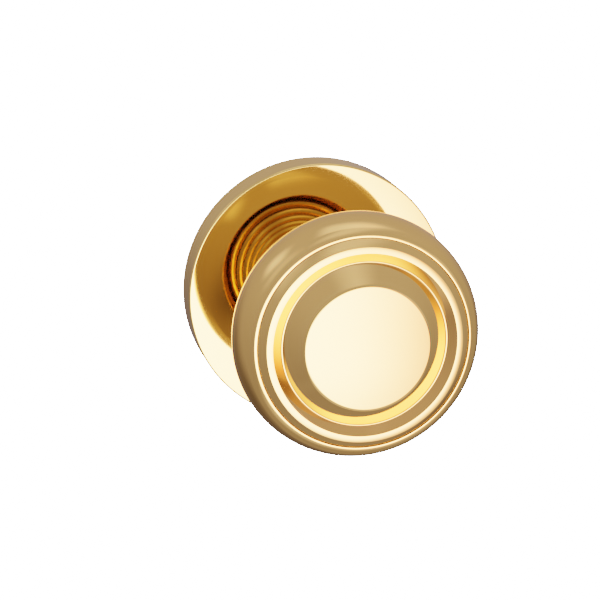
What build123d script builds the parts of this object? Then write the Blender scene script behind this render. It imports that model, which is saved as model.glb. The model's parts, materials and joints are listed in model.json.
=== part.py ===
from build123d import *

import math
import os

# Door knob on a round sprung rose: the half-set for one side of a door.
#
# Frame: the door's face is the XZ plane, +Z is up and the knob stands out along -Y. The origin is on
# the spindle axis, where it meets the door's face. "Out" is the distance from the door's face along
# -Y, so what reaches into the door has a negative "out". All lengths are in millimetres.

# --- driving dimensions ---------------------------------------------------------------------------

fit_gap = 0.05  # between pieces of one body that touch on the real object
running_gap = 0.06  # radial, between the neck and its bushes
working_gap = 0.3  # between pieces that pass each other as the knob turns

# Rose
rose_radius = 33.35
rose_rim_out = 9.22  # where the rounded edge meets the face
rose_shoulder = (26.0, 9.42)  # radius and out: outside this the face falls away a little
rose_shoulder_swell = 0.04
rose_face_out = 9.45
rose_edge_round = 0.5
rose_wall = 1.2
snap_wire_radius = 0.6
snap_ring_out = 1.5
snap_ring_gap_degrees = 24
rose_groove_depth = 0.35  # the snap ring stands in this groove and in the plate's
plate_groove_depth = 1.0

# Mounting plate, with a pocket for the return spring
plate_radius = 31.8
plate_thickness = 3.0
plate_floor_out = 1.2
plate_relief_out = 0.3  # the back is relieved inside its outer land, which alone lies on the door
plate_land_inner_radius = 24.5
pocket_radius = 22.2
post_spacing = 38.0  # between the two through-fixings, on the X axis
post_radius = 3.5
post_length = 26.0
post_thread_radius = 2.0
post_thread_depth = 16.0
post_flange_radius = 4.8
post_flange_thickness = 1.4
post_stake_radius = 2.4

# Spring cassette
cassette_wall = 1.2
cassette_front_out = 8.1
cassette_flange_radius = 30.0
cassette_screw_circle_radius = 26.5
cassette_screw_angles = (45, 135, 225, 315)
cassette_screw_radius = 1.5
cassette_screw_head_radius = 2.6
cassette_screw_head_height = 1.5

# Turning limits
turn_each_way_degrees = 60
stop_pin_radius = 1.5
stop_pin_length = 2.5
stop_pin_circle_radius = 18.6
stop_lug_half_degrees = 12
stop_gap_degrees = 0.3
cam_arm_thickness = 0.95

# Return spring: a torsion coil whose two legs hold the cam's finger to the housing's post
spring_wire_radius = 0.6
spring_coil_radius = 16.3
spring_pitch = 1.25
spring_rear_out = 2.0
spring_leg_offset = 3.0
spring_leg_top = 21.6
spring_leg_hold = 1.5  # the length of each leg beside the fixed post

# Neck and its bearings
journal_radius = 10.5
journal_flat = 9.2  # from the axis to each of the two driving flats
journal_flat_front_out = 6.9
bush_wall = 1.85
bush_nose_out = 10.1
bush_flange_width = 1.6
front_bush_flange_thickness = 0.4
rear_bush_flange_rear_out = -0.65
disc_spring_rear_out = -1.38
disc_spring_width = 3.1
disc_spring_thickness = 0.28
disc_spring_cone = 0.4  # how far its inner edge lies behind its outer edge
collar_radius = 14.6
collar_back_out = 10.4
collar_front_out = 12.4
neck_rear_out = -4.0
ring_groove_out = -2.65
ring_groove_width = 1.2
ring_groove_radius = 9.6
retaining_ring_width = 2.2  # beyond the journal
retaining_ring_gap_degrees = 40
retaining_ring_eye_radius = 0.65
neck_bore_radius = 7.0
waist_radius = 11.2
bead_start_out = 27.4
bead_width = 2.1
bead_swell = 0.72
bead_valley_radii = (12.6, 13.2, 14.0, 15.2, 16.9, 18.9)
neck_foot_radius = 18.8
tenon_radius = 9.0
tenon_front_out = 49.5
tenon_gap = 0.1  # radial, in the shell and the backing washer

# Spindle and the screw that holds it
spindle_width = 8.0
spindle_length = 100.0
spindle_front_out = 36.0
spindle_chamfer = 0.8
socket_rear_out = 8.0
socket_front_out = 42.0
set_screw_out = 17.5
set_screw_radius = 2.5
set_screw_key_radius = 1.44  # to the corners of its 2.5 mm hexagonal socket
set_screw_key_depth = 2.2

# Knob: a barrel with a moulded face
barrel_back = (26.3, 38.3)  # radius and out, at the crisp edge of the back
barrel_widest = (29.8, 48.2)
barrel_front = (28.0, 55.0)
shoulder_front = (26.3, 56.6)
shoulder_swell = 0.17  # bends on from the barrel without a crease
lip_outer = (26.25, 56.62)
lip_inner = (25.62, 56.68)
lip_crown = 0.04
shell_wall = 1.8
shell_seat_out = 39.9
recess_radius = 20.2
back_inner_out = 34.4  # the back slopes from the recess round the neck out to the barrel
back_swell = 0.12
cap_radius = 25.5
cap_gap = 0.12  # the fine dark joint between the lip and the face
cap_seat_out = 54.0
cap_seat_width = 1.3
cap_seat_thickness = 1.0

# Moulded face, from its groove to the raised disc in the middle
groove_out = 56.6
ring_outer = (23.7, 58.4)
ring_inner = (22.2, 58.5)
ring_crown = 0.04
cone_foot = (19.85, 56.9)  # the crisp corner between the ring's inner slope and the cone
disc_radius = 15.15
disc_edge_out = 60.9
disc_edge_round = 1.4
disc_rise = 0.6
cap_wall = 1.6
cap_rim_wall = 1.4
cap_bend = 0.6  # how far the bends of the inside are from those of the outside

# Fasteners inside the knob
backing_washer_radius = 19.5
backing_washer_thickness = 1.5
lock_washer_radius = 12.8
lock_washer_thickness = 1.2
lock_washer_split_degrees = 8
nut_across_flats = 24.0
nut_height = 4.0
locating_pin_radius = 1.25
locating_pin_circle_radius = 13.0
locating_pin_depth = 2.2  # into the neck's foot


# --- building blocks ------------------------------------------------------------------------------


def on_page(corner):
    """The outline's page has the radius to the right and the door upwards."""
    radius, out = corner[:2]
    return (radius, -out)


def turned(*corners, degrees=360):
    """Revolve a closed outline about the spindle axis.

    A corner is (radius, out). A third number makes an arc of the line that arrives there: it is the
    arc's height over its chord, positive where it swells to the left of the way travelled.
    """
    edges = []
    for start, end in zip(corners, corners[1:] + corners[:1]):
        if len(end) == 3 and end[2]:
            edges.append(SagittaArc(on_page(start), on_page(end), end[2]))
        else:
            edges.append(Line(on_page(start), on_page(end)))
    return revolve(make_face(edges), Axis.Y, degrees)


def rod(radius, near, far, x=0.0, z=0.0):
    """A cylinder parallel to the spindle, between two distances out from the door."""
    return Pos(x, -(near + far) / 2, z) * Rot(X=90) * Cylinder(radius, far - near)


def block(width, height, near, far, x=0.0, z=0.0):
    """A box, width along X and height along Z, between two distances out from the door."""
    return Pos(x, -(near + far) / 2, z) * Box(width, far - near, height)


def ring(inner, outer, near, far):
    """A flat ring about the spindle axis."""
    return turned((inner, near), (outer, near), (outer, far), (inner, far))


def around(shape, degrees):
    """Turn a shape about the spindle axis, from +X towards +Z."""
    return Rot(Y=-degrees) * shape


def copies(shape, angles):
    """The same shape at several angles about the spindle axis."""
    return [around(shape, angle) for angle in angles]


def crown_swell(radius, rise):
    """The height over its chord of a dome's profile, from the dome's edge to its middle."""
    sphere = (radius**2 + rise**2) / (2 * rise)
    return sphere * (1 - math.cos(math.asin(radius / sphere) / 2))


def bulge_swell(edge, widest):
    """The height over its chord of the arc between a barrel's edge and its widest place."""
    rise = widest[0] - edge[0]
    radius = (rise**2 + (widest[1] - edge[1])**2) / (2 * rise)
    return radius - math.sqrt(radius**2 - rise * radius / 2)


# --- the rose and what it hides -------------------------------------------------------------------


def rose_cover():
    """The spun brass rose, with a groove inside its rim for the snap ring."""
    inner = rose_radius - rose_wall
    hole = journal_radius + running_gap + bush_wall + fit_gap
    face_edge = rose_radius - rose_edge_round
    edge_swell = rose_edge_round * (1 - math.sqrt(0.5))
    groove_half = snap_wire_radius + fit_gap
    return turned(
        (rose_radius, 0),
        (rose_radius, rose_rim_out - rose_edge_round),
        (face_edge, rose_rim_out, edge_swell),
        (*rose_shoulder, rose_shoulder_swell),
        (hole, rose_face_out),
        (hole, rose_face_out - rose_wall),
        (inner - rose_edge_round, rose_rim_out - rose_wall),
        (inner, rose_rim_out - rose_wall - rose_edge_round, -edge_swell),
        (inner, snap_ring_out + groove_half),
        (inner + rose_groove_depth, snap_ring_out + groove_half),
        (inner + rose_groove_depth, snap_ring_out - groove_half),
        (inner, snap_ring_out - groove_half),
        (inner, 0),
    )


def rose_snap_ring():
    """The open wire ring that holds the rose on the mounting plate."""
    middle = rose_radius - rose_wall + rose_groove_depth - snap_wire_radius - 2 * fit_gap
    section = Pos(*on_page((middle, snap_ring_out))) * Circle(snap_wire_radius)
    return revolve(section, Axis.Y, 360 - snap_ring_gap_degrees)


def mounting_plate():
    """The steel plate behind the rose, with its spring pocket and the holes through its floor."""
    groove_floor = plate_radius - plate_groove_depth
    groove_half = snap_wire_radius + fit_gap
    bush_hole = journal_radius + running_gap + bush_wall + fit_gap
    edge_chamfer = 0.4
    plate = turned(
        (bush_hole, plate_relief_out),
        (plate_land_inner_radius, plate_relief_out),
        (plate_land_inner_radius, 0),
        (plate_radius, 0),
        (plate_radius, snap_ring_out - groove_half),
        (groove_floor, snap_ring_out - groove_half),
        (groove_floor, snap_ring_out + groove_half),
        (plate_radius, snap_ring_out + groove_half),
        (plate_radius, plate_thickness - edge_chamfer),
        (plate_radius - edge_chamfer, plate_thickness),
        (pocket_radius, plate_thickness),
        (pocket_radius, plate_floor_out),
        (bush_hole, plate_floor_out),
    )
    for side in (-1, 1):
        plate -= rod(post_stake_radius + fit_gap, -1, plate_thickness, x=side * post_spacing / 2)
    tapped_radius = cassette_screw_radius + fit_gap
    tapped = rod(tapped_radius, -1, plate_thickness + 1, x=cassette_screw_circle_radius)
    return plate - copies(tapped, cassette_screw_angles)


def fixing_posts():
    """Two internally threaded posts, staked into the plate, that the fixing screws pull against."""
    post = rod(post_radius, -post_length, -post_flange_thickness)
    post += rod(post_flange_radius, -post_flange_thickness - fit_gap, plate_relief_out - fit_gap)
    post += rod(post_stake_radius, -1, plate_floor_out)
    post = chamfer(post.edges().sort_by(Axis.Y)[-1], 0.5)
    post -= rod(post_thread_radius, -post_length - 1, -post_length + post_thread_depth)
    return [Pos(X=side * post_spacing / 2) * post for side in (-1, 1)]


def cassette_housing():
    """The steel cup over the spring, with the post that the spring's legs rest on."""
    hole = journal_radius + running_gap + bush_wall + fit_gap
    outer = pocket_radius + cassette_wall
    inside_front = cassette_front_out - cassette_wall
    flange_front = plate_thickness + cassette_wall
    foot_bend = 0.5
    front_bend = 0.8
    cup = turned(
        (pocket_radius, plate_thickness),
        (cassette_flange_radius, plate_thickness),
        (cassette_flange_radius, flange_front),
        (outer + foot_bend, flange_front),
        (outer, flange_front + foot_bend),
        (outer, cassette_front_out - front_bend),
        (outer - front_bend, cassette_front_out),
        (hole, cassette_front_out),
        (hole, inside_front),
        (pocket_radius, inside_front),
    )
    cup += spring_post()
    screw_hole = rod(cassette_screw_radius + 0.2, 0, flange_front + 1, x=cassette_screw_circle_radius)
    cup -= copies(screw_hole, cassette_screw_angles)
    pin_hole = rod(stop_pin_radius + fit_gap / 2, 0, cassette_front_out + 1, x=stop_pin_circle_radius)
    return cup - copies(pin_hole, stop_pin_angles())


def between_legs_width():
    """The width of the fixed post and of the cam's finger, between the spring's two legs."""
    return 2 * (spring_leg_offset - spring_wire_radius - fit_gap)


def spring_post_low():
    """The inner end of the fixed post: the cam's finger passes just inside it."""
    return spring_leg_top - spring_leg_hold


def spring_post():
    """The fixed post, at the top of the cassette, between the spring's legs."""
    low = spring_post_low()
    high = pocket_radius + cassette_wall
    rear = plate_floor_out + working_gap
    post = block(between_legs_width(), high - low, rear, cassette_front_out - 0.5, z=(low + high) / 2)
    in_pocket = rod(pocket_radius - fit_gap, rear, plate_thickness)
    in_cup = rod(pocket_radius + cassette_wall / 2, plate_thickness, cassette_front_out)
    return post & (in_pocket + in_cup)


def cassette_screws():
    """Pan-head screws that hold the cassette on the plate."""
    head_rear = plate_thickness + cassette_wall + fit_gap
    head_front = head_rear + cassette_screw_head_height
    screw = rod(cassette_screw_radius, 0.2, head_rear + 0.1)
    screw += rod(cassette_screw_head_radius, head_rear, head_front)
    screw = fillet(screw.edges().sort_by(Axis.Y)[0], 0.6)
    slot_length = 2.6
    slot_width = 0.6
    slot_depth = 0.8
    for width, height in ((slot_length, slot_width), (slot_width, slot_length)):
        screw -= block(width, height, head_front - slot_depth, head_front + 1)
    return copies(Pos(X=cassette_screw_circle_radius) * screw, cassette_screw_angles)


def stop_pin_angles():
    """Where the two stop pins stand, so that the cam's lug meets them at the end of its turn."""
    pin_half = math.degrees(math.asin(stop_pin_radius / stop_pin_circle_radius))
    swing = turn_each_way_degrees + stop_lug_half_degrees + pin_half + stop_gap_degrees
    return (270 - swing, 270 + swing)


def stop_pins():
    """Two dowels in the front of the cassette that end the knob's turn."""
    pin = rod(stop_pin_radius, cassette_front_out - stop_pin_length, cassette_front_out)
    pin = chamfer(pin.edges().sort_by(Axis.Y)[-1], 0.2)
    return copies(Pos(X=stop_pin_circle_radius) * pin, stop_pin_angles())


def return_spring():
    """A torsion coil, with two straight legs standing up either side of the spring post."""
    lean = math.degrees(math.asin(spring_leg_offset / spring_coil_radius))
    turns = 2 + 2 * lean / 360
    height = turns * spring_pitch
    leg_foot = math.sqrt(spring_coil_radius**2 - spring_leg_offset**2)
    helix = Helix(spring_pitch, height, spring_coil_radius)
    section = Plane(helix @ 0, z_dir=helix % 0) * Circle(spring_wire_radius)
    coil = sweep(section, helix)
    # The helix rises along +Z from +X: lay it along -Y and start it at the leg on the +X side.
    coil = Pos(Y=-spring_rear_out) * Rot(X=90) * Rot(Z=90 - lean) * coil
    spring = coil
    for x, out in ((spring_leg_offset, spring_rear_out), (-spring_leg_offset, spring_rear_out + height)):
        leg = Cylinder(spring_wire_radius, spring_leg_top - leg_foot)
        spring += Pos(x, -out, (spring_leg_top + leg_foot) / 2) * leg
        spring += Pos(x, -out, leg_foot) * Sphere(spring_wire_radius)
    return spring


def front_bush():
    """The nylon bush that the neck turns in, in the front of the cassette."""
    bore = journal_radius + running_gap
    sleeve = bore + bush_wall
    flange_front = cassette_front_out - cassette_wall - fit_gap
    flange_rear = flange_front - front_bush_flange_thickness
    nose_chamfer = 0.3
    return turned(
        (bore, flange_rear),
        (sleeve + bush_flange_width, flange_rear),
        (sleeve + bush_flange_width, flange_front),
        (sleeve, flange_front),
        (sleeve, bush_nose_out - nose_chamfer),
        (sleeve - nose_chamfer, bush_nose_out),
        (bore, bush_nose_out),
    )


def rear_bush():
    """The nylon bush in the plate's floor, with the flange that takes the pull on the knob."""
    bore = journal_radius + running_gap
    sleeve = bore + bush_wall
    flange_front = plate_relief_out - fit_gap
    return turned(
        (bore, rear_bush_flange_rear_out),
        (sleeve + bush_flange_width, rear_bush_flange_rear_out),
        (sleeve + bush_flange_width, flange_front),
        (sleeve, flange_front),
        (sleeve, plate_floor_out),
        (bore, plate_floor_out),
    )


def disc_spring():
    """The coned spring washer that takes up the neck's end float."""
    inner = journal_radius + 0.2
    outer = inner + disc_spring_width
    outer_rear_out = disc_spring_rear_out + disc_spring_cone
    return turned(
        (inner, disc_spring_rear_out),
        (outer, outer_rear_out),
        (outer, outer_rear_out + disc_spring_thickness),
        (inner, disc_spring_rear_out + disc_spring_thickness),
    )


# --- what turns with the knob ---------------------------------------------------------------------


def neck_beads():
    """The corners of the turned beads, from the waist to the flare under the knob."""
    corners = []
    for number, valley_radius in enumerate(bead_valley_radii):
        swell = bead_swell if number else 0
        corners.append((valley_radius, bead_start_out + number * bead_width, swell))
    return corners


def knob_neck():
    """The brass neck: journal, collar, waist, beads and the threaded tenon inside the knob."""
    groove_front = ring_groove_out + ring_groove_width
    collar_round = 0.9
    collar_swell = collar_round * (1 - math.sqrt(0.5))
    collar_chamfer = 0.3
    journal_chamfer = 0.4
    tenon_chamfer = 0.6
    waist_dip = (collar_radius - collar_round + bead_valley_radii[0]) / 2 - waist_radius
    neck = turned(
        (neck_bore_radius + fit_gap / 2, neck_rear_out),
        (journal_radius - journal_chamfer, neck_rear_out),
        (journal_radius, neck_rear_out + journal_chamfer),
        (journal_radius, ring_groove_out),
        (ring_groove_radius, ring_groove_out),
        (ring_groove_radius, groove_front),
        (journal_radius, groove_front),
        (journal_radius, collar_back_out),
        (collar_radius - collar_chamfer, collar_back_out),
        (collar_radius, collar_back_out + collar_chamfer),
        (collar_radius, collar_front_out - collar_round),
        (collar_radius - collar_round, collar_front_out, collar_swell),
        (bead_valley_radii[0], bead_start_out, -waist_dip),
        *neck_beads()[1:],
        (neck_foot_radius, shell_seat_out),
        (tenon_radius, shell_seat_out),
        (tenon_radius, tenon_front_out - tenon_chamfer),
        (tenon_radius - tenon_chamfer, tenon_front_out),
        (neck_bore_radius + fit_gap / 2, tenon_front_out),
    )
    slab = 2.0  # of metal taken off each side, more than enough
    for side in (-1, 1):
        neck -= block(slab, 40, neck_rear_out - 1, journal_flat_front_out, x=side * (journal_flat + slab / 2))
    neck -= set_screw_hole(collar_radius)
    return neck - locating_pin_holes(shell_seat_out - locating_pin_depth, shell_seat_out + 1)


def set_screw_hole(reach):
    """The radial hole under the neck for the set screw."""
    return Pos(0, -set_screw_out, -reach / 2) * Cylinder(set_screw_radius + fit_gap / 2, reach)


def spindle_socket():
    """The steel socket pressed into the neck, with a blind square hole for the spindle."""
    square = spindle_width + 2 * fit_gap
    socket = rod(neck_bore_radius, socket_rear_out, socket_front_out)
    socket = chamfer(socket.edges().filter_by(GeomType.CIRCLE), 0.3)
    socket -= block(square, square, socket_rear_out - 1, spindle_front_out + fit_gap)
    return socket - set_screw_hole(neck_bore_radius + 1)


def set_screw():
    """The grub screw that holds the socket and neck on the spindle."""
    tip = spindle_width / 2 + fit_gap / 2
    sunk = 0.3
    head = waist_radius - sunk
    length = head - tip
    screw = Cylinder(set_screw_radius, length)
    screw = chamfer(screw.edges().filter_by(GeomType.CIRCLE), 0.35)
    key = extrude(RegularPolygon(set_screw_key_radius, 6), set_screw_key_depth)
    screw -= Pos(Z=-length / 2) * key
    return Pos(0, -set_screw_out, -(tip + head) / 2) * screw


def spindle():
    """The square steel spindle that turns the latch."""
    middle = spindle_front_out - spindle_length / 2
    bar = Pos(Y=-middle) * Box(spindle_width, spindle_length, spindle_width)
    ends = bar.edges().group_by(Axis.Y)
    return chamfer(ends[0] + ends[-1], spindle_chamfer)


def cam_finger():
    """The cam's finger: it reaches back from the arm, between the spring's legs."""
    coil_gap = 1.3
    low = spring_coil_radius + spring_wire_radius + coil_gap
    high = spring_post_low() - working_gap - 0.1
    front = cam_front_out()
    width = between_legs_width()
    finger = block(width, high - low, plate_floor_out + working_gap, front, z=(low + high) / 2)
    foot = cam_arm_inner_radius()
    arm = block(width, high - foot, cam_arm_rear_out(), front, z=(high + foot) / 2)
    return (finger + arm) & rod(spring_post_low() - working_gap, 0, front)


def cam_front_out():
    """The front of the cam, just behind the front bush's flange."""
    flange_rear = cassette_front_out - cassette_wall - fit_gap - front_bush_flange_thickness
    return flange_rear - working_gap / 2


def cam_arm_rear_out():
    """The back of the cam's arm and lug, clear of the spring's coil and its front leg."""
    return cam_front_out() - cam_arm_thickness


def cam_arm_inner_radius():
    """Where the cam's arm and lug start, inside its hub."""
    return journal_radius + 2


def stop_lug():
    """The lug at the bottom of the cam that meets the stop pins."""
    outer = stop_pin_circle_radius + stop_pin_radius
    inner = cam_arm_inner_radius()
    corners = [
        (inner, cam_arm_rear_out()),
        (outer, cam_arm_rear_out()),
        (outer, cam_front_out()),
        (inner, cam_front_out()),
    ]
    lug = turned(*corners, degrees=2 * stop_lug_half_degrees)
    middle = lug.center()
    return around(lug, 270 - math.degrees(math.atan2(middle.Z, middle.X)))


def drive_cam():
    """The cam on the neck's two flats: it carries the spring finger and the stop lug."""
    coil_gap = 1.2
    hub_outer = spring_coil_radius - spring_wire_radius - coil_gap
    front = cam_front_out()
    hub = rod(hub_outer, plate_floor_out + working_gap / 2, front)
    hole = rod(journal_radius + fit_gap / 2, 0, front + 1)
    hole &= block(2 * (journal_flat + fit_gap / 2), 40, 0, front + 1)
    return hub + cam_finger() + stop_lug() - hole


def retaining_ring():
    """The ring in the neck's groove that holds the neck in the rose."""
    rear = ring_groove_out + 0.1
    front = ring_groove_out + ring_groove_width - fit_gap / 2
    inner = ring_groove_radius + fit_gap
    outer = journal_radius + retaining_ring_width
    corners = [(inner, rear), (outer, rear), (outer, front), (inner, front)]
    band = turned(*corners, degrees=360 - retaining_ring_gap_degrees)
    middle = band.center()
    band = around(band, 90 - math.degrees(math.atan2(middle.Z, middle.X)))
    eye_circle = outer + 0.1
    lug_radius = 1.5
    lug_inset_degrees = 6  # from the ends of the ring
    eye = rod(retaining_ring_eye_radius, rear - 1, front + 1, x=eye_circle)
    lug = rod(lug_radius, rear, front, x=eye_circle) - eye
    for side in (-1, 1):
        angle = 270 + side * (retaining_ring_gap_degrees / 2 + lug_inset_degrees)
        band -= around(eye, angle)
        band += around(lug, angle)
    return band


def shell_outside():
    """The knob's visible outline, from its back round the barrel to the lip around its face."""
    return [
        (tenon_radius + tenon_gap, shell_seat_out),
        (recess_radius, shell_seat_out),
        (recess_radius, back_inner_out),
        (*barrel_back, back_swell),
        (*barrel_widest, bulge_swell(barrel_back, barrel_widest)),
        (*barrel_front, bulge_swell(barrel_front, barrel_widest)),
        (*shoulder_front, shoulder_swell),
        lip_outer,
        (*lip_inner, lip_crown),
    ]


def knob_shell():
    """The hollow brass barrel of the knob, with a seat for its face and a seat for the neck."""
    inner_back_out = shell_seat_out + shell_wall
    side = barrel_back[0] - shell_wall
    inner_swell = barrel_widest[0] - shell_wall - side
    hub_bend = 1.0  # how much thicker the back is where it meets the hub
    shell = turned(
        *shell_outside(),
        (cap_radius + cap_gap, cap_seat_out),
        (cap_radius - cap_seat_width, cap_seat_out),
        (cap_radius - cap_seat_width, cap_seat_out - cap_seat_thickness),
        (side, cap_seat_out - 2 * cap_seat_thickness),
        (side, barrel_back[1] + shell_wall, -inner_swell),
        (recess_radius + shell_wall, back_inner_out + shell_wall + hub_bend),
        (recess_radius + shell_wall, inner_back_out),
        (tenon_radius + tenon_gap, inner_back_out),
    )
    return shell - locating_pin_holes(shell_seat_out - 1, inner_back_out + 1)


def knob_face():
    """The pressed brass face: a slope up to the ring, down to a corner, and a cone up to the domed disc."""
    inner_rim = cap_radius - cap_rim_wall
    cone_slope = math.atan2(disc_edge_out - cone_foot[1], cone_foot[0] - disc_radius)
    dome_slope = math.atan2(2 * disc_rise, disc_radius)
    trim = disc_edge_round * math.tan((cone_slope - dome_slope) / 2)
    cone_top = (disc_radius + trim * math.cos(cone_slope), disc_edge_out - trim * math.sin(cone_slope))
    dome_edge = (disc_radius - trim * math.cos(dome_slope), disc_edge_out + trim * math.sin(dome_slope))
    round_swell = disc_edge_round * (1 - math.cos((cone_slope - dome_slope) / 2))
    dome_top = disc_edge_out + disc_rise
    return turned(
        (cap_radius, cap_seat_out),
        (cap_radius, groove_out),
        ring_outer,
        (*ring_inner, ring_crown),
        cone_foot,
        cone_top,
        (*dome_edge, round_swell),
        (0, dome_top, crown_swell(dome_edge[0], dome_top - dome_edge[1])),
        (0, dome_top - cap_wall),
        (disc_radius - cap_bend, disc_edge_out - cap_wall),
        (cone_foot[0] - cap_bend, cone_foot[1] - cap_wall),
        (cone_foot[0] + cap_bend, cone_foot[1] - cap_wall),
        (ring_inner[0], ring_inner[1] - cap_wall),
        (inner_rim, groove_out - cap_bend),
        (inner_rim, cap_seat_out),
    )


def backing_washer_rear_out():
    """The inside of the shell's seat, where the backing washer lies."""
    return shell_seat_out + shell_wall + fit_gap


def backing_washer():
    """The washer that spreads the nut's load over the inside of the shell."""
    rear = backing_washer_rear_out()
    front = rear + backing_washer_thickness
    washer = ring(tenon_radius + tenon_gap, backing_washer_radius, rear, front)
    return washer - locating_pin_holes(rear - 1, front + 1)


def lock_washer():
    """The split spring washer under the nut."""
    rear = backing_washer_rear_out() + backing_washer_thickness + fit_gap
    front = rear + lock_washer_thickness
    inner = tenon_radius + 0.15
    corners = [(inner, rear), (lock_washer_radius, rear), (lock_washer_radius, front), (inner, front)]
    return turned(*corners, degrees=360 - lock_washer_split_degrees)


def neck_nut():
    """The hexagonal nut that holds the knob on its neck."""
    rear = backing_washer_rear_out() + backing_washer_thickness + lock_washer_thickness + 2 * fit_gap
    front = rear + nut_height
    prism = extrude(RegularPolygon(nut_across_flats / 2, 6, major_radius=False), nut_height)
    nut = Pos(Y=-rear) * Rot(X=90) * prism
    outer = nut_across_flats / math.sqrt(3)
    chamfer_width = 0.9
    chamfer_height = 0.6
    nut &= turned(
        (0, rear),
        (outer - chamfer_width, rear),
        (outer, rear + chamfer_height),
        (outer, front - chamfer_height),
        (outer - chamfer_width, front),
        (0, front),
    )
    return nut - rod(tenon_radius + fit_gap / 2, rear - 1, front + 1)


def locating_pin_holes(near, far):
    """The two holes for the locating pins, between two distances out from the door."""
    radius = locating_pin_radius + fit_gap / 2
    return [rod(radius, near, far, x=side * locating_pin_circle_radius) for side in (-1, 1)]


def locating_pins():
    """Two dowels that stop the knob turning on its neck."""
    end_gap = 0.1
    front = backing_washer_rear_out() + backing_washer_thickness - end_gap
    pin = rod(locating_pin_radius, shell_seat_out - locating_pin_depth + end_gap, front)
    return [Pos(X=side * locating_pin_circle_radius) * pin for side in (-1, 1)]


# --- write the nodes ------------------------------------------------------------------------------

nodes = (
    rose_cover,
    rose_snap_ring,
    mounting_plate,
    fixing_posts,
    cassette_housing,
    cassette_screws,
    stop_pins,
    return_spring,
    front_bush,
    rear_bush,
    disc_spring,
    knob_neck,
    spindle_socket,
    set_screw,
    spindle,
    drive_cam,
    retaining_ring,
    knob_shell,
    knob_face,
    backing_washer,
    lock_washer,
    neck_nut,
    locating_pins,
)

os.makedirs("parts", exist_ok=True)
for node in nodes:
    shape = node()
    if isinstance(shape, list):
        shape = Compound(children=shape)
    export_step(shape, f"parts/{node.__name__}.step")
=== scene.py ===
"""The looks of a polished brass door knob on a round sprung rose, around its CAD frame.

Frame: the door's face is the XZ plane, +Z is up and the knob stands out along -Y. "Out" is the distance
from the door's face along -Y. Sizes are in millimetres until a mesh is made, and Blender's are in metres.
"""

import json
import math

import bpy
from mathutils import Matrix, Vector


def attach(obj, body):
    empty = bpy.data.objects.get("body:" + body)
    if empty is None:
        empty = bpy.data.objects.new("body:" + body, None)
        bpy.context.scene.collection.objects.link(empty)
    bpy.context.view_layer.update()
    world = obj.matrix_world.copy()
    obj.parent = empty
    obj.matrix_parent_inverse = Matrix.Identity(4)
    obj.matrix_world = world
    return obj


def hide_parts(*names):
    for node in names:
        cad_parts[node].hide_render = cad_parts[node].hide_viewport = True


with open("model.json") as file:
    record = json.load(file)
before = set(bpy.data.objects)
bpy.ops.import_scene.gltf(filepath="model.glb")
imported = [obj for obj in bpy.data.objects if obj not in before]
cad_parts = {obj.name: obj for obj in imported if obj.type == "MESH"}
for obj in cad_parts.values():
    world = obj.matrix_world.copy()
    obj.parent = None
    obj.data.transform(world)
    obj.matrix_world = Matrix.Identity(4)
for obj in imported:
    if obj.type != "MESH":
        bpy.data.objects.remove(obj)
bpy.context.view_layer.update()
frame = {"nodes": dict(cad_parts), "record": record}

MM = 0.001
AXIS = Vector((0, -1, 0))  # out of the door, along the spindle

# --- sizes ----------------------------------------------------------------------------------------

LATHE_STEPS = 256  # facets round a turned piece
ARC_STEP = math.radians(3)  # the most that an arc of an outline bends from one facet to the next
ROUND_STEP = math.radians(12)  # and that the round of an edge does
LEAST_TURN = math.radians(2)  # a corner that bends less than this is not rounded
MOST_TRIMMED = 0.4  # the most of a line or arc that the round at its end takes up
SAME_PLACE = 1e-4  # samples of an outline that are nearer than this, and whose normals
SAME_NORMAL = math.radians(1)  # are nearer than this, are one
ON_AXIS = 1e-6  # a smaller radius is on the axis
EDGE_ROUND = 0.12  # what polishing leaves of a sharp edge
JOINT_ROUND = 0.03  # and of the edges on either side of the fine joint round the face

ROSE_RADIUS = 33.35
ROSE_RIM_OUT = 9.22  # where the rounded edge meets the face
ROSE_SHOULDER = (26.0, 9.42)  # outside this the face falls away a little
ROSE_SHOULDER_SWELL = 0.04
ROSE_FACE_OUT = 9.45
ROSE_EDGE_ROUND = 0.5
ROSE_WALL = 1.2
ROSE_HOLE_RADIUS = 12.46
ROSE_GROOVE = (0.85, 2.15)  # between these, inside the rim, for the snap ring
ROSE_GROOVE_DEPTH = 0.35

BARREL_BACK = (26.3, 38.3)  # radius and out, as for each of these places
BARREL_WIDEST = (29.8, 48.2)
BARREL_FRONT = (28.0, 55.0)
SHOULDER_FRONT = (26.3, 56.6)
SHOULDER_SWELL = 0.17  # bends on from the barrel without a crease
LIP_OUTER = (26.25, 56.62)
LIP_INNER = (25.62, 56.68)
LIP_CROWN = 0.04
SHELL_WALL = 1.8
SHELL_SEAT_OUT = 39.9  # where the knob stands on its neck
RECESS_RADIUS = 20.2  # of the hollow in the back, round the neck
BACK_INNER_OUT = 34.4
BACK_SWELL = 0.12
HUB_BEND = 1.0  # how much thicker the back is where it meets the hub

CAP_RADIUS = 25.5
CAP_GAP = 0.12  # the fine joint between the lip and the face, dark from its depth and from painted shade on its walls
CAP_SEAT_OUT = 54.0
CAP_SEAT_WIDTH = 1.3
CAP_SEAT_THICKNESS = 1.0
CAP_WALL = 1.6
CAP_RIM_WALL = 1.4
CAP_BEND = 0.6  # how far the bends of the face's inside are from those of its outside

GROOVE_OUT = 56.6  # where the face starts, inside the lip
RING_OUTER = (23.7, 58.4)
RING_INNER = (22.2, 58.5)
RING_CROWN = 0.04
SLOPE_CROWN = 0.05
CONE_FOOT = (19.85, 56.9)  # the fine bright corner between the ring's inner slope and the cone
CONE_FOOT_ROUND = 0.5
DISC_RADIUS = 15.15
DISC_EDGE_OUT = 60.9
DISC_EDGE_ROUND = 1.4
DISC_RISE = 0.6

TENON_HOLE_RADIUS = 9.1


# --- turned pieces --------------------------------------------------------------------------------


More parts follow.
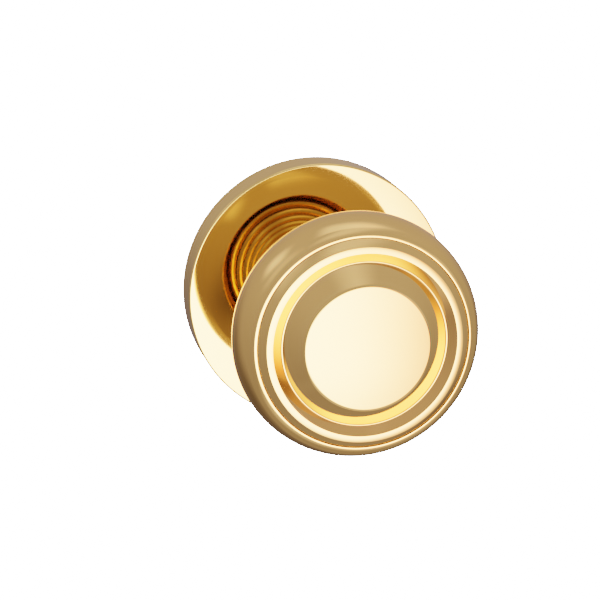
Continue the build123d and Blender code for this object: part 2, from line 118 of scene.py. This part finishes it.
def crown_swell(radius, rise):
    """The height over its chord of a dome's profile, from the dome's edge to its middle."""
    sphere = (radius**2 + rise**2) / (2 * rise)
    return sphere * (1 - math.cos(math.asin(radius / sphere) / 2))


def bulge_swell(edge, widest):
    """The height over its chord of the arc between a barrel's edge and its widest place."""
    rise = widest[0] - edge[0]
    radius = (rise**2 + (widest[1] - edge[1])**2) / (2 * rise)
    return radius - math.sqrt(radius**2 - rise * radius / 2)


class Stretch:
    """One line or arc of an outline. A point is (radius, out), and a normal points out of the metal."""

    def __init__(self, start, end, swell):
        self.start, self.end = Vector(start), Vector(end)
        chord = self.end - self.start
        self.along = chord.normalized()
        self.normal = Vector((self.along.y, -self.along.x))
        self.length = chord.length
        self.swell = swell
        self.arc_radius = 0.0
        self.half_angle = 0.0
        if swell:
            self.arc_radius = (chord.length**2 / 4 + swell**2) / (2 * abs(swell))
            self.half_angle = math.asin(min(1, chord.length / 2 / self.arc_radius))
        self.trimmed = [0.0, 0.0]

    def end_normal(self, last):
        """The normal at the first or last end."""
        angle = self.half_angle * (1 if last else -1)
        if self.swell < 0:
            angle = -angle
        return self.normal * math.cos(angle) + self.along * math.sin(angle)

    def samples(self):
        """(point, normal) pairs along the stretch, between its trimmed ends."""
        if not self.swell:
            first = self.start + self.along * self.trimmed[0]
            last = self.end - self.along * self.trimmed[1]
            return [(first, self.normal), (last, self.normal)]
        sign = 1 if self.swell > 0 else -1
        middle = (self.start + self.end) / 2
        centre = middle + self.normal * (self.swell - sign * self.arc_radius)
        low = -self.half_angle + self.trimmed[0] / self.arc_radius
        high = self.half_angle - self.trimmed[1] / self.arc_radius
        steps = max(3, math.ceil((high - low) / ARC_STEP))
        pairs = []
        for step in range(steps + 1):
            angle = low + (high - low) * step / steps
            spoke = self.normal * math.cos(angle) * sign + self.along * math.sin(angle)
            pairs.append((centre + spoke * self.arc_radius, spoke * sign))
        return pairs


def corner_round(before, after, edge_round):
    """Trim two stretches where they meet and return the samples of the round between them."""
    first, last = before.end_normal(True), after.end_normal(False)
    turn = first.angle(last)
    if turn < LEAST_TURN:
        return []
    trim = min(edge_round * math.tan(turn / 2), MOST_TRIMMED * before.length, MOST_TRIMMED * after.length)
    before.trimmed[1] = trim
    after.trimmed[0] = trim
    begin = before.samples()[-1][0]
    end = after.samples()[0][0]
    side = 1 if first.cross(last) > 0 else -1
    radius = (end - begin).length / 2 / math.sin(turn / 2)
    centre = begin - first * radius * side
    steps = max(2, math.ceil(turn / ROUND_STEP))
    pairs = []
    for step in range(1, steps):
        share = step / steps
        normal = (first * math.sin((1 - share) * turn) + last * math.sin(share * turn)) / math.sin(turn)
        pairs.append((centre + normal * radius * side, normal))
    return pairs


def outline(corners):
    """The (point, normal) samples of a closed outline of (radius, out[, swell[, edge round]]) corners.

    The swell is the height over its chord of the arc that arrives at the corner: it is positive where
    the arc swells out of the metal.
    """
    whole = [tuple(corner) + (0, EDGE_ROUND)[len(corner) - 2:] for corner in corners]
    stretches = []
    for start, end in zip(whole, whole[1:] + whole[:1]):
        stretches.append(Stretch(start[:2], end[:2], end[2]))
    rounds = []
    for index, before in enumerate(stretches):
        corner = whole[(index + 1) % len(whole)]
        after = stretches[(index + 1) % len(stretches)]
        on_axis = corner[0] < ON_AXIS
        rounds.append([] if on_axis else corner_round(before, after, corner[3]))
    pairs = []
    for stretch, bend in zip(stretches, rounds):
        if stretch.start.x < ON_AXIS and stretch.end.x < ON_AXIS:
            continue
        pairs += stretch.samples() + bend
    return pairs


def without_repeats(pairs):
    """The samples, less those that are the same as the one before."""
    kept = [pairs[0]]
    for point, normal in pairs[1:]:
        last_point, last_normal = kept[-1]
        if (point - last_point).length > SAME_PLACE or normal.angle(last_normal) > SAME_NORMAL:
            kept.append((point, normal))
    return kept


def strip_faces(first, count, second, next_count):
    """The faces between two rings of points, one of which may be a single point on the axis."""
    faces = []
    for step in range(LATHE_STEPS):
        ahead = (step + 1) % LATHE_STEPS
        face = [first + (step if count > 1 else 0), second + (step if next_count > 1 else 0)]
        if next_count > 1:
            face.append(second + ahead)
        if count > 1:
            face.append(first + ahead)
        faces.append(face[::-1])
    return faces


def lathe(name, corners):
    """A closed turned mesh from an outline, with the true normals of the outline."""
    points, normals, rings = [], [], []
    for point, normal in without_repeats(outline(corners)):
        count = 1 if point.x < ON_AXIS else LATHE_STEPS
        rings.append((len(points), count))
        for step in range(count):
            angle = 2 * math.pi * step / LATHE_STEPS
            across = Vector((math.cos(angle), 0, math.sin(angle)))
            points.append((across * point.x + AXIS * point.y) * MM)
            normals.append(across * normal.x + AXIS * normal.y)
    faces = []
    for (first, count), (second, next_count) in zip(rings, rings[1:] + rings[:1]):
        if count > 1 or next_count > 1:
            faces += strip_faces(first, count, second, next_count)
    mesh = bpy.data.meshes.new(name)
    mesh.from_pydata(points, [], faces)
    mesh.shade_smooth()
    mesh.normals_split_custom_set_from_vertices(normals)
    return add_piece(name, mesh)


def add_piece(name, mesh):
    """A mesh as an object in the scene."""
    piece = bpy.data.objects.new(name, mesh)
    bpy.context.scene.collection.objects.link(piece)
    return piece


def stand_for(piece, node, body, material):
    """Put a piece in the place of its CAD node, on its body and with its finish."""
    piece.data.materials.clear()
    piece.data.materials.append(material)
    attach(piece, body)
    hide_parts(node)
    return piece


def rose_outline():
    """The spun rose: a drum with a rounded edge and a nearly flat face."""
    inner = ROSE_RADIUS - ROSE_WALL
    swell = ROSE_EDGE_ROUND * (1 - math.sqrt(0.5))
    groove_low, groove_high = ROSE_GROOVE
    return [
        (ROSE_RADIUS, 0),
        (ROSE_RADIUS, ROSE_RIM_OUT - ROSE_EDGE_ROUND),
        (ROSE_RADIUS - ROSE_EDGE_ROUND, ROSE_RIM_OUT, swell),
        (*ROSE_SHOULDER, ROSE_SHOULDER_SWELL),
        (ROSE_HOLE_RADIUS, ROSE_FACE_OUT),
        (ROSE_HOLE_RADIUS, ROSE_FACE_OUT - ROSE_WALL),
        (inner - ROSE_EDGE_ROUND, ROSE_RIM_OUT - ROSE_WALL),
        (inner, ROSE_RIM_OUT - ROSE_WALL - ROSE_EDGE_ROUND, -swell),
        (inner, groove_high),
        (inner + ROSE_GROOVE_DEPTH, groove_high),
        (inner + ROSE_GROOVE_DEPTH, groove_low),
        (inner, groove_low),
        (inner, 0),
    ]


def shell_outline():
    """The knob's barrel, from its back round the side to the lip round its face, and its inside."""
    inner_back_out = SHELL_SEAT_OUT + SHELL_WALL
    side = BARREL_BACK[0] - SHELL_WALL
    seat_radius = CAP_RADIUS - CAP_SEAT_WIDTH
    hub_radius = RECESS_RADIUS + SHELL_WALL
    return [
        (TENON_HOLE_RADIUS, SHELL_SEAT_OUT),
        (RECESS_RADIUS, SHELL_SEAT_OUT),
        (RECESS_RADIUS, BACK_INNER_OUT),
        (*BARREL_BACK, BACK_SWELL),
        (*BARREL_WIDEST, bulge_swell(BARREL_BACK, BARREL_WIDEST)),
        (*BARREL_FRONT, bulge_swell(BARREL_FRONT, BARREL_WIDEST)),
        (*SHOULDER_FRONT, SHOULDER_SWELL),
        LIP_OUTER,
        (*LIP_INNER, LIP_CROWN, JOINT_ROUND),
        (CAP_RADIUS + CAP_GAP, CAP_SEAT_OUT),
        (seat_radius, CAP_SEAT_OUT),
        (seat_radius, CAP_SEAT_OUT - CAP_SEAT_THICKNESS),
        (side, CAP_SEAT_OUT - 2 * CAP_SEAT_THICKNESS),
        (side, BARREL_BACK[1] + SHELL_WALL, SHELL_WALL + side - BARREL_WIDEST[0]),
        (hub_radius, BACK_INNER_OUT + SHELL_WALL + HUB_BEND),
        (hub_radius, inner_back_out),
        (TENON_HOLE_RADIUS, inner_back_out),
    ]


def face_outline():
    """The moulded face: a slope up to the ring, down to a corner, and a cone up to the domed disc."""
    foot_radius, foot_out = CONE_FOOT
    inner_rim = CAP_RADIUS - CAP_RIM_WALL
    dome_top = DISC_EDGE_OUT + DISC_RISE
    return [
        (CAP_RADIUS, CAP_SEAT_OUT),
        (CAP_RADIUS, GROOVE_OUT, 0, JOINT_ROUND),
        (*RING_OUTER, SLOPE_CROWN),
        (*RING_INNER, RING_CROWN),
        (*CONE_FOOT, 0, CONE_FOOT_ROUND),
        (DISC_RADIUS, DISC_EDGE_OUT, 0, DISC_EDGE_ROUND),
        (0, dome_top, crown_swell(DISC_RADIUS, DISC_RISE)),
        (0, dome_top - CAP_WALL),
        (DISC_RADIUS - CAP_BEND, DISC_EDGE_OUT - CAP_WALL),
        (foot_radius - CAP_BEND, foot_out - CAP_WALL),
        (foot_radius + CAP_BEND, foot_out - CAP_WALL),
        (RING_INNER[0], RING_INNER[1] - CAP_WALL),
        (inner_rim, GROOVE_OUT - CAP_BEND),
        (inner_rim, CAP_SEAT_OUT),
    ]


# --- materials ------------------------------------------------------------------------------------

BRASS = (0.90, 0.598, 0.20)
# a deeper, oranger tint painted on the ring's inner slope, to colour the gold reflection that the slope shows
REFLECTION_TINT_BRASS = (0.91, 0.475, 0.155)
WARM_BRASS = (0.93, 0.563, 0.195)
# painted shade: the neck is darkened all over for the shade it sits in between the knob and the rose
SHADED_NECK_BRASS = (0.60, 0.36, 0.10)
# painted shade: a near-black brass for the walls of the joint round the face and the hollow round the neck
PAINTED_SHADE_BRASS = (0.14, 0.07, 0.025)
BRASS_EDGE = (1.0, 0.88, 0.75)  # at a glancing angle
TARNISH = 0.95  # how bright the duller clouds of a surface are, beside the rest of it

MIRROR_ROUGHNESS = 0.05
SATIN_ROUGHNESS = 0.14
NECK_ROUGHNESS = 0.09
SHADE_PATCH_ROUGHNESS = 0.4
MIRROR_MARKS = 0.0000004  # depths in metres of the fine marks of polishing
SATIN_MARKS = 0.000001
NECK_MARKS = 0.0000008
POLISHING_SCALE = 4000.0


class Nodes:
    """A node tree, with short calls for the nodes used here."""

    def __init__(self, tree):
        self.tree = tree
        tree.nodes.clear()

    def add(self, kind, inputs=None, **settings):
        """A node with its settings and inputs. An input is a number, a colour or another node's socket."""
        node = self.tree.nodes.new("ShaderNode" + kind)
        for name, value in settings.items():
            setattr(node, name, value)
        for name, value in (inputs or {}).items():
            if isinstance(value, bpy.types.NodeSocket):
                self.tree.links.new(value, node.inputs[name])
            else:
                node.inputs[name].default_value = value
        return node

    def math(self, operation, first, second=0.0):
        """A Math node's result."""
        return self.add("Math", {0: first, 1: second}, operation=operation).outputs[0]

    def dot(self, first, second):
        """The dot product of two vectors."""
        return self.add("VectorMath", {0: first, 1: second}, operation="DOT_PRODUCT").outputs["Value"]

    def blend(self, share, first, second):
        """A colour between two, each (red, green, blue) or another node's socket."""
        ends = [end if isinstance(end, bpy.types.NodeSocket) else (*end, 1) for end in (first, second)]
        inputs = {0: share, 6: ends[0], 7: ends[1]}
        return self.add("Mix", inputs, data_type="RGBA").outputs[2]

    def within(self, value, low, high):
        """1 where a distance in metres is between two in millimetres, else 0."""
        above = self.math("GREATER_THAN", value, low * MM)
        return self.math("MULTIPLY", above, self.math("LESS_THAN", value, high * MM))

    def smooth(self, value, start, end, low=0.0, high=1.0):
        """A smooth step from low at start to high at end."""
        inputs = {"Value": value, "From Min": start, "From Max": end, "To Min": low, "To Max": high}
        return self.add("MapRange", inputs, interpolation_type="SMOOTHSTEP").outputs["Result"]


def turned_place(nodes, place):
    """The place as (radius, distance along the axis), so that marks run in circles round the spindle."""
    parts = nodes.add("SeparateXYZ", {0: place}).outputs
    across = nodes.add("CombineXYZ", {0: parts["X"], 1: parts["Z"]}).outputs[0]
    radius = nodes.add("VectorMath", {0: across}, operation="LENGTH").outputs["Value"]
    return nodes.add("CombineXYZ", {0: radius, 1: parts["Y"]}).outputs[0]


def marked_place(nodes, place, marks):
    """The place as the marks see it: in circles if turned, in long lines if drawn, else the same all ways."""
    if marks == "turned":
        return turned_place(nodes, place)
    if marks == "drawn":
        return nodes.add("VectorMath", {0: place, 1: (1, 0.02, 1)}, operation="MULTIPLY").outputs[0]
    return place


def finish(name, colour, roughness, metallic, marks, mark_scale, mark_depth):
    """A surface whose colour, roughness and marks vary a little, as real ones do."""
    material = bpy.data.materials.new(name)
    material.use_nodes = True
    nodes = Nodes(material.node_tree)
    place = nodes.add("TexCoord").outputs["Object"]
    cloud = nodes.add("TexNoise", {"Vector": place, "Scale": 90.0, "Detail": 4.0}).outputs["Fac"]
    wiped = {"Vector": place, "Scale": 35.0, "Detail": 6.0, "Distortion": 1.5}
    wipes = nodes.add("TexNoise", wiped).outputs["Fac"]
    where = marked_place(nodes, place, marks)
    fine = nodes.add("TexNoise", {"Vector": where, "Scale": mark_scale, "Detail": 3.0}).outputs["Fac"]
    darker = [channel * TARNISH for channel in colour]
    tint = nodes.blend(cloud, darker, colour)
    rough = nodes.smooth(wipes, 0.35, 0.7, roughness * 0.85, roughness * 1.3)
    bump = nodes.add("Bump", {"Height": fine, "Distance": mark_depth, "Strength": 1.0}).outputs[0]
    inputs = {"Base Color": tint, "Metallic": metallic, "Roughness": rough, "Normal": bump}
    shader = nodes.add("BsdfPrincipled", inputs)
    nodes.add("OutputMaterial", {"Surface": shader.outputs[0]})
    return material, nodes, shader, place, tint, rough


def brass(name, roughness, mark_depth, patches=(), colour=BRASS):
    """Polished and lacquered brass. A patch is a zone, its colour and its roughness."""
    material, nodes, shader, place, tint, rough = finish(
        name, colour, roughness, 1.0, "turned", POLISHING_SCALE, mark_depth
    )
    shader.inputs["Specular Tint"].default_value = (*BRASS_EDGE, 1)
    parts = nodes.add("SeparateXYZ", {0: turned_place(nodes, place)}).outputs
    out = nodes.math("MULTIPLY", parts["Y"], -1.0)
    for zone, patch_colour, patch_roughness in patches:
        inside = nodes.math("MULTIPLY", nodes.within(parts["X"], *zone[:2]), nodes.within(out, *zone[2:]))
        tint = nodes.blend(inside, tint, patch_colour)
        rough = nodes.add("Mix", {0: inside, 2: rough, 3: patch_roughness}).outputs[0]
    nodes.tree.links.new(tint, shader.inputs["Base Color"])
    nodes.tree.links.new(rough, shader.inputs["Roughness"])
    return material


def hidden_finishes():
    """The finishes of the pieces behind and inside, by the slot they fill."""
    rows = (
        ("zinc_plated_steel", (0.66, 0.68, 0.70), 0.26, 1.0, "plain", 1800.0, 0.000004),
        ("pressed_steel", (0.58, 0.58, 0.57), 0.34, 1.0, "plain", 1200.0, 0.000008),
        ("bare_steel", (0.52, 0.51, 0.50), 0.30, 1.0, "drawn", 2600.0, 0.000008),
        ("sintered_steel", (0.33, 0.33, 0.34), 0.52, 1.0, "plain", 5200.0, 0.000014),
        ("spring_steel", (0.40, 0.40, 0.42), 0.28, 1.0, "plain", 2400.0, 0.000005),
        ("black_steel", (0.045, 0.045, 0.05), 0.38, 1.0, "plain", 2400.0, 0.000006),
        ("white_nylon", (0.84, 0.83, 0.78), 0.42, 0.0, "plain", 1500.0, 0.000006),
    )
    return {row[0]: finish(*row)[0] for row in rows}


def dress_hidden_nodes():
    """Give each CAD node that stays the finish of its slot in the record."""
    finishes = hidden_finishes()
    for part in frame["record"]["subparts"]:
        if part["material_slot"] in finishes:
            for place in frame["nodes"][part["node"]].material_slots:
                place.material = finishes[part["material_slot"]]


# --- studio ---------------------------------------------------------------------------------------

WHITE = 30.0  # a strength that the camera sees as plain white
ROOM_LIGHT = (1.09, 0.95, 0.95)
KEY_LEFT = (1.12, 0.90, 0.86)  # the key panel is warmer towards its right
KEY_RIGHT = (1.22, 0.60, 0.52)


def softbox(nodes, direction, azimuth, elevation, half_width, half_height, edge, strength):
    """A soft-edged panel of light at that direction, in degrees. Azimuth 0 is in front, + to the right."""
    turn, tilt = math.radians(azimuth), math.radians(elevation)
    towards = Vector((math.sin(turn) * math.cos(tilt), -math.cos(turn) * math.cos(tilt), math.sin(tilt)))
    right = Vector((math.cos(turn), math.sin(turn), 0))
    up = right.cross(-towards)
    ahead = nodes.dot(direction, towards)
    sideways = nodes.math("ARCTAN2", nodes.dot(direction, right), ahead)
    upwards = nodes.math("ARCSINE", nodes.dot(direction, up))
    panel = strength
    for angle, half in ((sideways, half_width), (upwards, half_height)):
        inner, outer = math.radians(half - edge / 2), math.radians(half + edge / 2)
        inside = nodes.smooth(nodes.math("ABSOLUTE", angle), inner, outer, 1.0, 0.0)
        panel = nodes.math("MULTIPLY", inside, panel)
    return panel


def studio_light():
    """A pale grey studio with soft panels, which the camera itself sees as plain white."""
    world = bpy.data.worlds.new("studio")
    world.use_nodes = True
    bpy.context.scene.world = world
    nodes = Nodes(world.node_tree)
    direction = nodes.add("TexCoord").outputs["Generated"]
    towards = nodes.add("SeparateXYZ", {0: direction}).outputs
    light = nodes.smooth(towards["Z"], -0.9, 0.9, 0.33, 0.62)
    panels = (  # azimuth, elevation, half width, half height, soft edge, strength
        (-2, -14, 24, 17, 26, 11.5),
        (175, -32, 50, 24, 30, -0.24),
        (10, -58, 40, 16, 20, 0.5),
        (45, 8, 16, 12, 12, 0.4),
        (60, 80, 30, 14, 20, 0.5),
        (-84, 42, 16, 14, 18, 0.3),
        (-124, 37, 8, 8, 12, 1.0),
        (159, 72, 18, 10, 12, 0.8),
    )
    for panel in panels:
        light = nodes.math("ADD", light, softbox(nodes, direction, *panel))
    seen = nodes.add("LightPath").outputs["Is Camera Ray"]
    strength = nodes.add("Mix", {0: seen, 2: light, 3: WHITE}).outputs[0]
    key_colour = nodes.blend(nodes.smooth(towards["X"], -0.02, 0.5), KEY_LEFT, KEY_RIGHT)
    colour = nodes.blend(nodes.smooth(light, 0.6, 3.0), ROOM_LIGHT, key_colour)
    plain = nodes.blend(seen, colour, (1, 1, 1))
    background = nodes.add("Background", {"Color": plain, "Strength": strength})
    nodes.add("OutputWorld", {"Surface": background.outputs[0]})


def floor():
    """A plain pale floor, well below the knob."""
    half = 4.0
    depth = -0.25
    corners = [(x * half, y * half, depth) for x, y in ((-1, -1), (1, -1), (1, 1), (-1, 1))]
    mesh = bpy.data.meshes.new("floor")
    mesh.from_pydata(corners, [], [(0, 1, 2, 3)])
    piece = add_piece("floor", mesh)
    material = bpy.data.materials.new("pale_floor")
    material.use_nodes = True
    shader = material.node_tree.nodes["Principled BSDF"]
    shader.inputs["Base Color"].default_value = (0.9, 0.9, 0.9, 1)
    shader.inputs["Roughness"].default_value = 0.9
    shader.inputs["Emission Color"].default_value = (1, 1, 1, 1)
    shader.inputs["Emission Strength"].default_value = WHITE
    piece.data.materials.append(material)
    piece.visible_glossy = False
    piece.visible_diffuse = False


def camera():
    """A long lens, above and to the left of the knob."""
    azimuth, elevation = math.radians(-12.51), math.radians(15.15)
    distance = 0.600
    aside = (-0.00280, -0.00416)
    back = Vector((
        math.sin(azimuth) * math.cos(elevation),
        -math.cos(azimuth) * math.cos(elevation),
        math.sin(elevation),
    ))
    right = Vector((math.cos(azimuth), math.sin(azimuth), 0))
    up = back.cross(right)
    data = bpy.data.cameras.new("camera")
    data.lens = 139.9
    data.sensor_width = 36
    data.clip_start = 0.01
    piece = bpy.data.objects.new("camera", data)
    bpy.context.scene.collection.objects.link(piece)
    turn = Matrix((right, up, back)).transposed().to_4x4()
    piece.matrix_world = Matrix.Translation(back * distance + right * aside[0] + up * aside[1]) @ turn
    bpy.context.scene.camera = piece


# --- the scene ------------------------------------------------------------------------------------

# Zones of (low radius, high radius, low out, high out), each a little past its own surfaces. The joint and
# the recess get painted shade, near-black and rougher, and the ring's inner slope a deeper tint painted to
# colour its gold reflection.
JOINT = (CAP_RADIUS - 0.05, CAP_RADIUS + CAP_GAP + 0.04, CAP_SEAT_OUT - 0.1, LIP_INNER[1] - 0.01)
RECESS = (0, RECESS_RADIUS + 0.02, BACK_INNER_OUT + 0.4, SHELL_SEAT_OUT + 0.1)
RING_SLOPE = (CONE_FOOT[0], RING_INNER[0], CONE_FOOT[1] - 0.1, RING_INNER[1] - 0.1)
painted_shade_joint = (JOINT, PAINTED_SHADE_BRASS, SHADE_PATCH_ROUGHNESS)
painted_shade_recess = (RECESS, PAINTED_SHADE_BRASS, SHADE_PATCH_ROUGHNESS)
reflection_tint_slope = (RING_SLOPE, REFLECTION_TINT_BRASS, MIRROR_ROUGHNESS)

mirror_brass = brass("mirror_brass", MIRROR_ROUGHNESS, MIRROR_MARKS)
face_brass = brass("face_brass", MIRROR_ROUGHNESS, MIRROR_MARKS, (painted_shade_joint, reflection_tint_slope), WARM_BRASS)
satin_brass = brass("satin_brass", SATIN_ROUGHNESS, SATIN_MARKS, (painted_shade_recess, painted_shade_joint), WARM_BRASS)
shaded_neck_brass = brass("shaded_neck_brass", NECK_ROUGHNESS, NECK_MARKS, colour=SHADED_NECK_BRASS)

stand_for(lathe("rose", rose_outline()), "rose_cover", "rose", mirror_brass)
stand_for(lathe("barrel", shell_outline()), "knob_shell", "knob", satin_brass)
stand_for(lathe("face", face_outline()), "knob_face", "knob", face_brass)
frame["nodes"]["knob_neck"].material_slots[0].material = shaded_neck_brass
dress_hidden_nodes()

studio_light()
floor()
camera()

view = bpy.context.scene.view_settings
view.view_transform = "Filmic"
